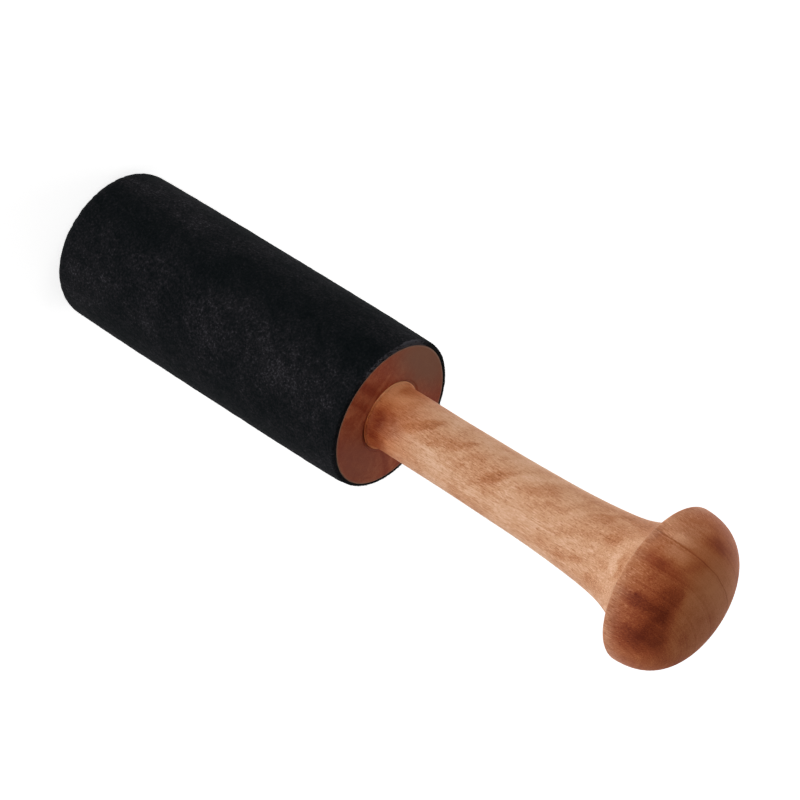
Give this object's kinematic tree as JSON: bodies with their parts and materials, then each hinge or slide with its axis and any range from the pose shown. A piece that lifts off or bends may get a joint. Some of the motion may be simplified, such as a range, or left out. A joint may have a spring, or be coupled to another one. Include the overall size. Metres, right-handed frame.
{
  "type": "singing bowl mallet",
  "caption": "Hand mallet for striking and rubbing a singing bowl: a turned wooden handle with a mushroom knob, glued into a round wooden head dressed in black suede.",
  "frame": {"origin": "centre of the flat suede disc on the free end of the head, on the surface that the mallet stands on", "axes": "+Z along the axis of the turned parts, from the head up to the knob; +Y points at the seam of the suede wrap, so -Y is the side without a seam"},
  "size_m": [0.05, 0.05, 0.2412],
  "materials": {
    "handle_wood": "satin clear finish on a tan hardwood with a fleck and a faint curl",
    "head_wood": "satin clear finish on red-brown end grain",
    "black_suede": "napped suede, matt"
  },
  "bodies": {
    "root": {"handle": "handle_wood", "head_core": "head_wood", "suede_wrap": "black_suede", "suede_end_disc": "black_suede"}
  },
  "joints": []
}
